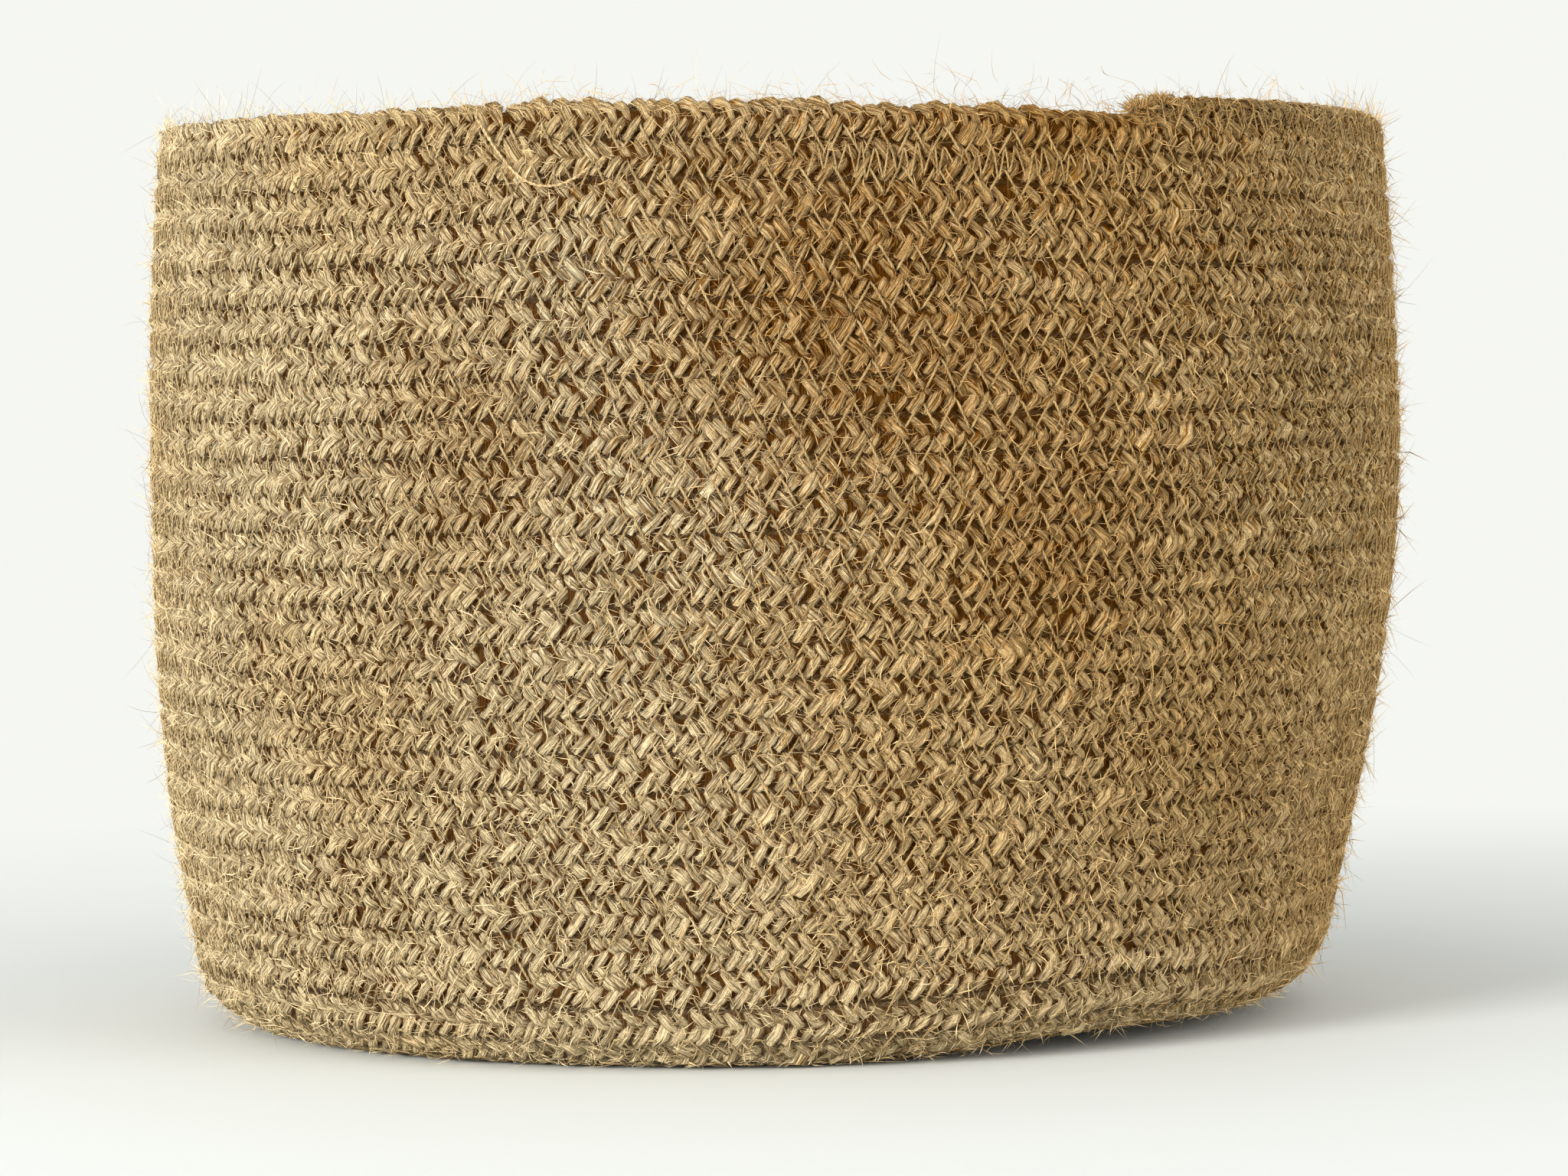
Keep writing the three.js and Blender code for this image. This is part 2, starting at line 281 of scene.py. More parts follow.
def settle(points):
    """The give of a soft basket: rows level out at the rim, the whole leans and swells."""
    x, y, z = points[..., 0], points[..., 1], points[..., 2]
    azimuth = np.arctan2(y, x)
    from_end = azimuth + math.pi / 2 - math.radians(END_DEGREES)
    levelling = RIM_RISE + RIM_WAVE * np.cos(from_end - RIM_WAVE_TURN) - RIM_TILT * x
    levelling = levelling - np.where(x < 0, *RIM_DIPS) * eased(np.abs(x), 40, 85)
    up = eased(z, 120, HEIGHT) * levelling
    up = up + WALL_TILT * (x - TILT_FROM) * eased(z, 0, 22) + TALLER * z
    lifted = FOOT_TILT * np.maximum(x - 6, 0)
    lifted = lifted + FOOT_HUMP * np.exp(-(((x - HUMP_PLACE) / HUMP_REACH) ** 2))
    up = up + lifted * (1 - eased(z, 0, 75))
    swell = -SLIMMER
    for size, lobes, start, climb in SWELLINGS:
        swell = swell + size * np.sin(lobes * azimuth + start + z / climb)
    grow = 1 + swell * eased(z, 0, 30) / BELLY_RADIUS
    side = TOP_LEAN * eased(z, 30, BELLY_HEIGHT + 2)
    return np.stack([x * grow + side, y * grow, z + up], axis=-1)


def on_basket(step, arc, across, out, along=0.0):
    """Points of the settled basket. The last three are lengths from the middle of the row."""
    radius, level, slope = profile(arc)
    azimuth = -math.pi / 2 + np.asarray(step) * (2 * math.pi / STEPS_PER_TURN)
    azimuth = azimuth + along / np.maximum(radius, START_RADIUS)
    reach = radius + across * np.cos(slope) + out * np.sin(slope)
    height = level + across * np.sin(slope) - out * np.cos(slope)
    points = np.stack([reach * np.cos(azimuth), reach * np.sin(azimuth), height], axis=-1)
    points = settle(points)
    points[..., 2] = np.maximum(points[..., 2], 0.02)
    return points


# Meshes

ROW_EDGE, CELL_EDGE = 0.06, 0.05  # bare strips in the rows and cells of the map for baking
END_ON_MAP = 0.3  # radius of an end face there


def within(place, edge):
    """A place from 0 to 1, kept off both ends by an edge."""
    return edge + (1 - 2 * edge) * place


class Skin:
    """Closed tubes of as many sides each, gathered into one mesh. Each point also keeps a
    place on its own tube for the pattern of its material, two numbers round it and one
    along, and how far it stands out of the row, from 0 in the grooves to 1 on the face,
    which sets how much painted shade its material puts there."""

    def __init__(self, sides, girth, spacing):
        self.sides = sides
        self.row_in_rings = girth * 1.2 / spacing  # height of a row of the map for baking
        self.tubes = []

    def add(self, rings, grain, shade_relief):
        self.tubes.append((rings, grain, shade_relief))

    def piece(self, name, finish, slot, nodes):
        """Joins the rings by quads and closes the ends. On the map for baking, the tubes are
        unrolled and cut into rows, with the end faces in the last row."""
        sides = self.sides
        side = np.arange(sides)
        after = (side + 1) % sides
        total = sum(len(rings) - 1 for rings, _, _ in self.tubes)
        chunk = max(int(math.sqrt(self.row_in_rings * total)), 8)  # rings in a row of the map
        quads, ends, spots, first, row = [], [], [], 0, 0
        for rings, _, _ in self.tubes:
            ring = np.arange(len(rings) - 1)[:, None]
            here, there = ring * sides + first, (ring + 1) * sides + first
            corners = [here + side, here + after, there + after, there + side]
            quads.append(np.stack(corners, axis=-1).reshape(-1, 4))
            ends += [first + side[::-1], there[-1] + side]
            start = (ring % chunk) / chunk + 0 * side
            low = ring // chunk + row + within(side / sides, ROW_EDGE)
            high = ring // chunk + row + within((side + 1) / sides, ROW_EDGE)
            along = np.stack([start, start, start + 1 / chunk, start + 1 / chunk], axis=-1)
            up = np.stack([low, high, high, low], axis=-1)
            spots.append(np.stack([along, up], axis=-1).reshape(-1, 2))
            first += len(rings) * sides
            row += math.ceil(len(ring) / chunk)
        turn = 2 * math.pi * side / sides
        place = np.arange(len(ends))[:, None]
        along = (place + 0.5 + END_ON_MAP * np.cos(turn)) * self.row_in_rings / chunk
        up = row + 0.5 + END_ON_MAP * np.sin(turn) + 0 * place
        spots.append(np.stack([along, up], axis=-1).reshape(-1, 2))
        places = np.concatenate(spots) / (1, row + 1)
        quads = np.concatenate(quads)
        corners = np.concatenate([quads.ravel(), *ends])
        starts = np.append(np.arange(len(quads)) * 4, quads.size + np.arange(len(ends)) * sides)
        points = np.concatenate([rings.reshape(-1, 3) for rings, _, _ in self.tubes])
        fields = {
            "grain": np.concatenate([grain.reshape(-1, 3) for _, grain, _ in self.tubes]),
            "shade_relief": np.concatenate([shade_relief.ravel() for _, _, shade_relief in self.tubes]),
        }
        return mesh_piece(name, points, corners, starts, places, fields, finish, nodes)


def mesh_piece(name, points, corners, starts, places, fields, finish, nodes):
    """Mesh from arrays in millimetres, riding on the basket and standing for CAD nodes."""
    first, second, third = (points[corners[starts + place]] for place in range(3))
    inside_out = np.einsum("ij,ij->", first, np.cross(second, third)) < 0
    if inside_out:
        ends = np.append(starts[1:], len(corners))
        owner = np.repeat(np.arange(len(starts)), ends - starts)
        order = starts[owner] + ends[owner] - 1 - np.arange(len(corners))
        corners, places = corners[order], places[order]
    mesh = bpy.data.meshes.new(name)
    mesh.vertices.add(len(points))
    mesh.loops.add(len(corners))
    mesh.polygons.add(len(starts))
    mesh.vertices.foreach_set("co", (points / 1000).astype(np.float32).ravel())
    mesh.loops.foreach_set("vertex_index", corners.astype(np.int32))
    mesh.polygons.foreach_set("loop_start", starts.astype(np.int32))
    mesh.polygons.foreach_set("use_smooth", np.ones(len(starts), bool))
    mesh.update(calc_edges=True)
    bake_map = mesh.uv_layers.new(name="OFBake")
    bake_map.data.foreach_set("uv", places.astype(np.float32).ravel())
    for field, numbers in fields.items():
        kind, key = ("FLOAT", "value") if numbers.ndim == 1 else ("FLOAT_VECTOR", "vector")
        kept = mesh.attributes.new(field, kind, "POINT")
        kept.data.foreach_set(key, numbers.astype(np.float32).ravel())
    mesh.validate()
    mesh.materials.append(finish)
    piece = bpy.data.objects.new(name, mesh)
    bpy.context.scene.collection.objects.link(piece)
    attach(piece, "root")
    if nodes:
        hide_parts(*nodes)
    return piece


def unit(vectors):
    return vectors / np.maximum(np.linalg.norm(vectors, axis=-1, keepdims=True), 1e-9)


# The plait


def strand_turn(lengths, strand):
    """How far a strand has come in its path from edge to edge, as an angle."""
    timing = 0.5 * drift(21, lengths, 60) + 0.46 * drift(100 * strand + 102, lengths, 8)
    timing += 9.0 * drift(22, lengths, 410)  # so that rows one above the other don't match
    return 2 * math.pi * (lengths / PLAIT_PERIOD + strand / 3) + timing


def ring_lengths(low, high, strand, ring_turns):
    """Where along the cord a strand has its rings: at the same turns of each half path."""
    fine = np.linspace(low, high, int((high - low) * 4) + 2)
    turn = strand_turn(fine, strand)
    halves = np.arange(math.floor(turn[0] / math.pi), math.ceil(turn[-1] / math.pi) + 1)
    wanted = (halves[:, None] * math.pi + ring_turns).ravel()
    wanted = wanted[(wanted > turn[0] + 0.1) & (wanted < turn[-1] - 0.1)]
    return np.concatenate([[low], np.interp(wanted, turn, fine), [high]])


def crossing(turn):
    """1 where a strand passes over its neighbour, -1 where it passes under."""
    turn = (np.degrees(turn) - UNDER_TURN) % 180
    rise = OVER_TURN - UNDER_TURN
    wave = np.where(
        turn < rise,
        -np.cos(turn / rise * math.pi),
        np.cos((turn - rise) / (180 - rise) * math.pi),
    )
    return np.tanh(1.3 * wave) / math.tanh(1.3)


def strand_line(lengths, strand):
    """Where one strand's middle runs, as distances across the row and out of the wall."""
    seed = 100 * (strand + 1)
    turn = strand_turn(lengths, strand)
    taper = 0.5 + 0.5 * end_share(step_for(lengths))
    swell = np.interp(lengths, cord_lengths, cord_swell)
    swing = STRAND_SWING * taper * (1 + 0.14 * drift(seed + 3, lengths, 6))
    path = np.arcsin(STRAIGHTNESS * np.sin(turn)) / math.asin(STRAIGHTNESS)
    upper = np.clip(path, 0, 1)
    level_edge = 1 - (1 - upper) ** 2.4
    across = swing * (path + rim_share(step_for(lengths)) * (level_edge - upper))
    out = STRAND_DIVE * taper * swell * crossing(turn)
    out += 0.4 * drift(seed + 4, lengths, 3.4)
    across += 0.45 * drift(seed + 5, lengths, 4.3)
    foot = -(1 - taper) * PLAIT_WIDTH / 2 - end_tuck(lengths)
    return across + foot, out, np.sin(turn) ** 2


def slubs(lengths, strand):
    """Thick places where a strand swells for a few millimetres."""
    chance = np.random.default_rng(900 + strand)
    total = cord_lengths[-1]
    count = int(total / 70)
    middles = chance.uniform(0, total, count)
    sizes = chance.uniform(0.12, 0.5, count) * chance.choice([1, 0.5], count)
    widths = chance.uniform(1.6, 3.0, count)
    extra = np.zeros_like(lengths)
    for middle, size, width in zip(middles, sizes, widths):
        near = np.abs(lengths - middle) < 3 * width
        extra[near] += size * np.exp(-(((lengths[near] - middle) / width) ** 2))
    return extra


def strand_tube(lengths, strand):
    """Rings of points round one strand, and the place of each point in its grain."""
    seed = 100 * (strand + 1)
    across, out, at_edge = strand_line(lengths, strand)
    reach = 0.25
    ahead = strand_line(lengths + reach, strand)
    behind = strand_line(np.maximum(lengths - reach, 0), strand)
    slope_across = (ahead[0] - behind[0]) / (2 * reach)
    slope_out = (ahead[1] - behind[1]) / (2 * reach)
    heading = unit(np.stack([np.ones_like(lengths), slope_across, slope_out], axis=-1))
    upright = np.array([0.0, 0.0, 1.0])
    depth = unit(upright - heading * heading[:, 2:3])
    breadth = np.cross(depth, heading)
    taper = 0.66 + 0.34 * end_share(step_for(lengths))
    thick = taper * (1 + 0.25 * drift(seed + 6, lengths, 4.1)) * (1 + slubs(lengths, strand))
    half_width = (STRAND_HALF_WIDTH - EDGE_NARROWING * at_edge) * thick
    half_width *= 1 + 0.12 * drift(seed + 7, lengths, 3.7)
    full = at_edge**2 + (1 - at_edge) ** 6
    half_depth = (STRAND_HALF_DEPTH + DEEPENING * full) * thick
    angle = 2 * math.pi * np.arange(STRAND_SIDES) / STRAND_SIDES
    twist = 0.35 * drift(seed + 8, lengths, 8)
    around = angle[None, :] + twist[:, None]
    lumps = np.stack(
        [drift(seed + 10 + side, lengths, 1.9) for side in range(STRAND_SIDES)], axis=-1
    )
    lumps = 1 + 0.17 * lumps
    offset = (
        breadth[:, None, :] * (half_width[:, None] * lumps * np.cos(around))[..., None]
        + depth[:, None, :] * (half_depth[:, None] * lumps * np.sin(around))[..., None]
    )
    step = step_for(lengths)[:, None] + np.zeros_like(around)
    arc = row_arc(step_for(lengths))[:, None]
    far_across = across[:, None] + offset[..., 1]
    far_out = out[:, None] + offset[..., 2]
    tilt = ROW_TILT * wall_share(arc) * far_across
    rings = on_basket(step, arc + 0 * around, far_across, far_out - tilt, offset[..., 0])
    travel = (lengths + strand * 311.7)[:, None] + 0 * around
    lay = around + travel * 0.16
    grain = np.stack([np.cos(lay), np.sin(lay), travel * 0.1], axis=-1)
    # How far each point stands out sets its painted shade: more in deep places, less in the base's
    # grooves, none on the top edge of the rim
    stand = np.abs(out[:, None] + offset[..., 2]) / (HALF_THICKNESS * taper[:, None] ** 2)
    upper_edge = far_across / (ROW_PITCH / 2) * rim_share(step)
    eased_base_shade = BASE_SHADE_EASING * (1 - wall_share(arc))
    shade_relief = np.clip(np.maximum(stand + eased_base_shade, upper_edge), 0, 1.1)
    return rings, grain, shade_relief


def wall_share(arc):
    """0 on the flat base, 1 on the wall."""
    return eased(arc, HEEL_ARC, WALL_ARC)


def plait_piece(name, from_step, to_step, node, ring_turns=RING_TURNS):
    low, high = length_at(from_step), length_at(to_step)
    skin = Skin(STRAND_SIDES, STRAND_GIRTH, PLAIT_PERIOD / 2 / len(ring_turns) * STRAND_SLANT)
    for strand in range(3):
        skin.add(*strand_tube(ring_lengths(low, high, strand, ring_turns), strand))
    return skin.piece(name, jute, "plaited_jute", [node])


def folded_end():
    """Rings round the first end of the cord, which lies folded across the middle of the base."""
    angle = 2 * math.pi * np.arange(6) / 6 + np.zeros((5, 1))
    along = np.linspace(-FOLD_REACH, FOLD_REACH, 5)[:, None] + 0 * angle
    breadth, height = FOLD_HALF_WIDTH * np.cos(angle), FOLD_HALF_DEPTH * np.sin(angle)
    points = np.stack([along, breadth, HALF_THICKNESS - FOOT_CUT + height], axis=-1)
    grain = np.stack([np.cos(angle), np.sin(angle), along * 0.3], axis=-1)
    return settle(points), grain, FOLD_SHADE_RELIEF + 0 * angle


def core_piece(name, from_step, to_step):
    """The fibres packed inside the cord, which close the wall behind its three strands. The
    jute's material gives them painted shade, a little less on their ridges and on the base.
    """
    low, high = length_at(from_step), length_at(to_step)
    lengths = np.linspace(low, high, int((high - low) / CORE_SPACING))
    step = step_for(lengths)[:, None]
    lower = ROW_PITCH / 2 + (wave_at(step) - wave_at(step + STEPS_PER_TURN)) / 2
    upper = ROW_PITCH / 2 + (wave_at(step - STEPS_PER_TURN) - wave_at(step)) / 2
    top_row = rim_share(step)
    upper = upper * (1 - top_row) + 2.2 * (0.3 + 0.7 * end_share(step)) * top_row
    depth = CORE_HALF_DEPTH * (0.6 + 0.4 * end_share(step))
    top, foot = upper - RIDGE_HALF_WIDTH, RIDGE_HALF_WIDTH - lower
    across = np.concatenate([upper, top, foot, -lower, -lower, upper], axis=1)
    ridge = RIDGE * (1 + 0.3 * drift(19, lengths, 5.0))[:, None] + 0 * depth
    low_ridge = np.interp(lengths, lengths - lengths_of_turn(step[:, 0]), ridge[:, 0])[:, None]
    out = np.concatenate(
        [depth + ridge * (1 - top_row), depth, depth, depth + low_ridge, -depth, -depth], axis=1
    )
    arc = row_arc(step) + 0 * across
    rings = on_basket(step + 0 * across, arc, across, out)
    travel = lengths[:, None] + 0 * across
    slanting = np.abs(across) * 1.3 - travel * 0.9
    grain = np.stack([slanting, out, travel * 0.15], axis=-1)
    shade_relief = np.where(np.arange(6) % 3 == 0, RIDGE_SHADE_RELIEF, CORE_SHADE_RELIEF) + 0 * travel
    shade_relief += BASE_SHADE_EASING * (1 - wall_share(arc))
    skin = Skin(6, CORE_GIRTH, CORE_SPACING)
    skin.add(rings, grain, shade_relief)
    skin.add(*folded_end())
    return skin.piece(name, jute, "plaited_jute", [])


# Threads


def travelled(points):
    """Distance along a line of points to each of them."""
    return np.concatenate([[0], np.cumsum(np.linalg.norm(np.diff(points, axis=0), axis=1))])


def thread_tube(points, outward, radius, sides, travel_from=0.0):
    """Rings round a thread that follows points, with the way out of the wall at each."""
    ahead = unit(np.diff(points, axis=0))
    ahead = np.concatenate([ahead, ahead[-1:]])
    behind = np.concatenate([ahead[:1], ahead[:-1]])
    heading = unit(ahead + behind)
    mitre = 1 / np.maximum(np.einsum("ij,ij->i", heading, ahead), 0.5)[:, None]
    sideways = unit(np.cross(outward, heading))
    upright = np.cross(heading, sideways)
    angle = 2 * math.pi * np.arange(sides) / sides
    rings = (
        points[:, None, :]
        + sideways[:, None, :] * (radius * mitre * np.sin(angle))[..., None]
        + upright[:, None, :] * (radius * np.cos(angle))[None, :, None]
    )
    travel = travelled(points)[:, None] + travel_from + 0 * angle
    around = np.where(angle > math.pi, angle - 2 * math.pi, angle) + 0 * travel
    grain = np.stack([around, travel, 0 * travel], axis=-1)
    return rings, grain, np.ones(rings.shape[:2])


def thread_points(step, arc, across, out):
    """Points of a thread on one side of the wall, with the way out of the wall at each."""
    points = on_basket(step, arc, across, out)
    return points, unit(points - on_basket(step, arc, across, out - np.sign(out)))


def groove_points(step, across, out):
    """Points over the groove above a turn, with the way out of the wall at each."""
    lower, upper = wave_at(step), wave_at(step - STEPS_PER_TURN)
    share = 0.5 + across / ROW_PITCH
    arc = arc_at(step) + ROW_PITCH / 2 + lower * (1 - share) + upper * share
    from_row = across + np.where(across < 0, 0.5, -0.5) * ROW_PITCH
    out = out - ROW_TILT * wall_share(arc) * from_row * THREAD_SHARE
    return thread_points(step, arc + across, 0 * across, out)


def needle_holes(chance, low, run, strokes, unevenness):
    """Where the needle goes in along a run, and on which side of the seam."""
    number = np.arange(strokes + 1)
    spacing = run / (strokes + 1)
    hole = low + (number + chance.uniform(-unevenness, unevenness, strokes + 1)) * spacing
    return hole, np.where(number % 2 == 0, -1.0, 1.0)


def zigzag(from_step, to_step, side, seed, holes):
    """A stroke goes from its hole in one row over two shoulders to the hole in the other.
    Where the seam is seen only from afar, the thread turns flat and leaves the holes out."""
    low, high = length_at(from_step), length_at(to_step)
    strokes = int((high - low) / (STITCH_LENGTH / 2))
    chance = np.random.default_rng(seed)
    hole, sign = needle_holes(chance, low, high - low, strokes, 0.07)
    reach = STITCH_REACH + chance.uniform(-0.35, 0.35, strokes + 1)
    places = np.stack([hole, sign * reach], axis=-1)
    shoulder = 0.16
    leaving = places[:-1] * (1 - shoulder) + places[1:] * shoulder
    arriving = places[:-1] * shoulder + places[1:] * (1 - shoulder)
    rows = np.stack([places[:-1], leaving, arriving], axis=1)
    face = HALF_THICKNESS + 0.12
    lift = chance.uniform(-0.12, 0.15, (strokes, 2))
    in_hole = np.full((strokes, 1), face - HOLE_DEPTH)
    out = np.concatenate([in_hole, face + lift], axis=1)
    if not holes:
        rows, out = rows[:, 1:], out[:, 1:]
    rows = np.concatenate([rows.reshape(-1, 2), places[-1:]])
    out = np.append(out.reshape(-1), face - HOLE_DEPTH)
    return groove_points(step_for(rows[:, 0]), rows[:, 1], side * out)


def seam_piece(name, from_step, to_step, side, sides, seed, node):
    """Zigzag seam on one side of the wall: 1 is the outside, -1 the inside."""
    skin = Skin(sides, 2 * math.pi * THREAD_RADIUS, 2.6)
    points, outward = zigzag(from_step, to_step, side, seed, sides > 3)
    skin.add(*thread_tube(points, outward, THREAD_RADIUS, sides))
    return skin.piece(name, thread, "sewing_thread", [node])


def lock_piece(name):
    """Close, steep stitches over the second row, left of the lapped end."""
    chance = np.random.default_rng(61)
    low = length_at(END_STEP + 2 * STEPS_PER_TURN) - LOCK_RUN
    strokes = int(LOCK_RUN / (LOCK_LENGTH / 2))
    hole, sign = needle_holes(chance, low, LOCK_RUN, strokes, 0.45)
    reach = sign * (LOCK_REACH + chance.uniform(-1.5, 0.6, strokes + 1))
    face = HALF_THICKNESS + 0.05
    in_hole = face - 1.6
    spots = []
    for a, b, far, near in zip(hole[:-1], hole[1:], reach[1:], reach[:-1]):
        for share, out in ((0, in_hole), (0.12, face), (0.5, face + 0.25), (0.88, face)):
            spots.append((a + (b - a) * share, near + (far - near) * share, out))
    spots.append((hole[-1], reach[-1], in_hole))
    along, across, out = np.array(spots).T
    step = step_for(along)
    out = out - ROW_TILT * THREAD_SHARE * across
    points, outward = thread_points(step, row_arc(step), across, out)
    skin = Skin(5, 2 * math.pi * THREAD_RADIUS, 2.0)
    skin.add(*thread_tube(points, outward, THREAD_RADIUS * 0.85, 5))
    return skin.piece(name, thread, "sewing_thread", ["rim_lock_stitches"])


def rim_overcast_piece(name):
    """Stitches that bind the thinned end of the cord over the top edge of the rim."""
    chance = np.random.default_rng(62)
    skin = Skin(5, 2 * math.pi * THREAD_RADIUS, 2.0)
    places = np.arange(2.5, OVERCAST_RUN, OVERCAST_LENGTH)
    for number, place in enumerate(places):
        step = END_STEP + steps_along_rim(place + chance.uniform(-0.8, 0.8))
        share = float(end_share(step))
        top = PLAIT_WIDTH * (0.55 + 0.45 * share) + 0.35
        half = HALF_THICKNESS * (0.72 + 0.28 * share) + 0.15
        foot = -PLAIT_WIDTH / 2
        shape = (
            (foot - 2.6, HALF_THICKNESS - 1.2),
            (foot - 2.0, HALF_THICKNESS + 0.25),
            (foot + 0.6, half + 0.35),
            (foot + top * 0.7, half + 0.1),
            (foot + top, half * 0.45),
            (foot + top + 0.1, -half * 0.45),
            (foot + top * 0.7, -half),
            (foot + 0.6, -half - 0.35),
            (foot - 2.0, -HALF_THICKNESS - 0.3),
            (foot - 2.6, -HALF_THICKNESS + 1.2),
        )
        across, out = np.array(shape).T
        slant = chance.uniform(-0.6, 1.2) + chance.uniform(-0.3, 0.3, len(across))
        along = np.linspace(-0.5, 0.5, len(across)) * slant
        steps = np.full(len(across), step)
        arc = row_arc(steps)
        points = on_basket(steps, arc, across, out, along)
        middle = on_basket(steps, arc, np.full(len(across), foot + top * 0.5), 0 * out, along)
        skin.add(*thread_tube(points, unit(points - middle), THREAD_RADIUS * 0.8, 5, number * 3.3))
    return skin.piece(name, thread, "sewing_thread", [])


def smooth_line(points, count):
    """Evenly spaced points on a smooth curve through the given ones."""
    points = np.asarray(points, float)
    padded = np.concatenate([2 * points[:1] - points[1:2], points, 2 * points[-1:] - points[-2:-1]])
    place = np.linspace(0, len(points) - 1 - 1e-6, count)
    knot = place.astype(int)
    t = (place - knot)[:, None]
    a, b, c, d = (padded[knot + shift] for shift in range(4))
    return 0.5 * (
        2 * b + (c - a) * t + (2 * a - 5 * b + 4 * c - d) * t**2 + (3 * b - a - 3 * c + d) * t**3
    )


def float_piece(name):
    """One slack stitch of pale two-ply thread that hangs over the front of the upper rows."""
    route = smooth_line(FLOAT_ROUTE, 44)
    right, below, out = route.T
    step = steps_along_rim(right, HALF_THICKNESS)
    arc = rim_top_arc(step) - below
    points, outward = thread_points(step, arc, 0 * arc, out)
    heading = unit(np.gradient(points, axis=0))
    sideways = unit(np.cross(outward, heading))
    upright = np.cross(heading, sideways)
    skin = Skin(6, 2 * math.pi * PLY_RADIUS, 1.3)
    for ply in range(2):
        turn = travelled(points) * (2 * math.pi / PLY_LAY) + ply * math.pi
        shift = sideways * np.cos(turn)[:, None] + upright * np.sin(turn)[:, None]
        line = points + 0.85 * PLY_RADIUS * shift
        skin.add(*thread_tube(line, outward, PLY_RADIUS, 6, ply * 5.0))
    return skin.piece(name, float_thread, "sewing_thread", ["rim_thread_float"])


# Loose fibres


class Fluff:
    """Fibres, each a thin spindle: rings of three points between two tips."""

    def __init__(self, seed, rings):
        self.chance = np.random.default_rng(seed)
        self.rings = rings
        self.fibres = []

    def grow(self, root, side, lean, heading, length, radius, bend):
        """Fibres from roots, which are step, arc, across and out. lean is the angle up from
        the surface, heading the angle from the row, both in degrees."""
        step, arc, across, out = root
        count = len(step)
        start = on_basket(step, arc, across, out)
        along = unit(on_basket(step, arc, across, out, 0.5) - start)
        normal = unit(on_basket(step, arc, across, out + side * 0.5) - start)
        up = np.cross(normal, along) * side
        turn, rise = np.radians(heading), np.radians(lean)
        flat = along * np.cos(turn)[:, None] + up * np.sin(turn)[:, None]
        cross = np.cross(normal, flat)
        ahead = flat * np.cos(rise)[:, None] + normal * np.sin(rise)[:, None]
        curl = self.chance.normal(0, 1, (count, 2)) * bend
        sway = cross * curl[:, :1] + normal * (0.6 * curl[:, 1:] - 0.15)
        rise_at_tip = np.maximum((ahead + sway)[:, 2] * length, 0.001)
        room = np.maximum(HAIR_TOP - start[:, 2], 0.5)
        length = np.where(rise_at_tip > room, length * room / rise_at_tip, length)
        share = np.linspace(-0.06, 1, self.rings + 2)[None, :, None]
        path = start[:, None, :] + length[:, None, None] * (
            ahead[:, None, :] * share + sway[:, None, :] * share**2
        )
        path[..., 2] = np.maximum(path[..., 2], 0.08)
        self.fibres.append((path, radius, normal))

    def piece(self, name, finish, slot, nodes=()):
        """Joins each fibre's rings and tips. On the map for baking, each fibre has its own
        cell, with its three sides one above the other."""
        path, radius, normal = (np.concatenate(parts) for parts in zip(*self.fibres))
        count, rings = len(path), self.rings
        ahead = unit(path[:, -1] - path[:, 0])
        sideways = unit(np.cross(ahead, normal))
        upright = np.cross(sideways, ahead)
        angle = 2 * math.pi * np.arange(3) / 3
        ring = (
            sideways[:, None, :] * np.cos(angle)[None, :, None]
            + upright[:, None, :] * np.sin(angle)[None, :, None]
        ) * radius[:, None, None]
        tapering = [path[:, k : k + 1] + ring * 0.85 ** (k - 1) for k in range(1, rings + 1)]
        points = np.concatenate([path[:, :1], *tapering, path[:, -1:]], axis=1)
        last = 1 + 3 * rings
        far = 1 / (rings + 1)
        shapes, spots = [], []
        for side in range(3):
            after = (side + 1) % 3
            low, high = side / 3, (side + 1) / 3
            middle = (low + high) / 2
            shapes.append([0, 1 + side, 1 + after])
            spots += [(0, middle), (far, low), (far, high)]
            for k in range(rings - 1):
                here, there = 1 + 3 * k, 4 + 3 * k
                shapes.append([here + side, there + side, there + after, here + after])
                near, next_one = (k + 1) * far, (k + 2) * far
                spots += [(near, low), (next_one, low), (next_one, high), (near, high)]
            shapes.append([last - 3 + side, last, last - 3 + after])
            spots += [(1 - far, low), (1, middle), (1 - far, high)]
        sizes = np.array([len(shape) for shape in shapes])
        template = np.concatenate(shapes)
        firsts = np.concatenate([[0], np.cumsum(sizes)[:-1]])
        fibre = np.arange(count)[:, None]
        corners = (fibre * (last + 1) + template[None, :]).ravel()
        starts = (fibre * len(template) + firsts[None, :]).ravel()
        columns = int(math.ceil(math.sqrt(count)))
        cell = np.stack([np.arange(count) % columns, np.arange(count) // columns], axis=-1)
        spots = within(np.array(spots), CELL_EDGE)
        places = ((cell[:, None, :] + spots[None]) / columns).reshape(-1, 2)
        own = self.chance.uniform(0, 50, (count, 1, 1)) + np.zeros((count, last + 1, 3))
        return mesh_piece(
            name, points.reshape(-1, 3), corners, starts, places,
            {"grain": own.reshape(-1, 3)}, finish, nodes,
        )


def tuft_piece(name, seed, back, node):
    """A cut strand end, frayed into a tuft that stands up on the lapped end."""
    fluff = Fluff(seed, 3)
    chance = fluff.chance
    count = TUFT_FIBRES
    spread = chance.normal(0, 1.15, (count, 2))
    step = END_STEP + steps_along_rim(back + spread[:, 0])
    share = end_share(step)
    arc = arc_at(step) - PLAIT_WIDTH / 2 + PLAIT_WIDTH * (0.5 + 0.5 * share)
    arc -= 0.6 + end_tuck(back)
    heading = 90 + spread[:, 0] * -34 + chance.normal(0, 24, count)
    lean = spread[:, 1] * 34 + chance.normal(0, 12, count)
    length = np.clip(chance.normal(2.5, 0.7, count), 1.0, 4.2)
    radius = chance.uniform(0.1, 0.2, count)
    root = (step, arc, 0 * step, spread[:, 1])
    fluff.grow(root, 1, lean, heading, length, radius, 0.4)
    return fluff.piece(name, cut_end, "cut_strand_end", [node])


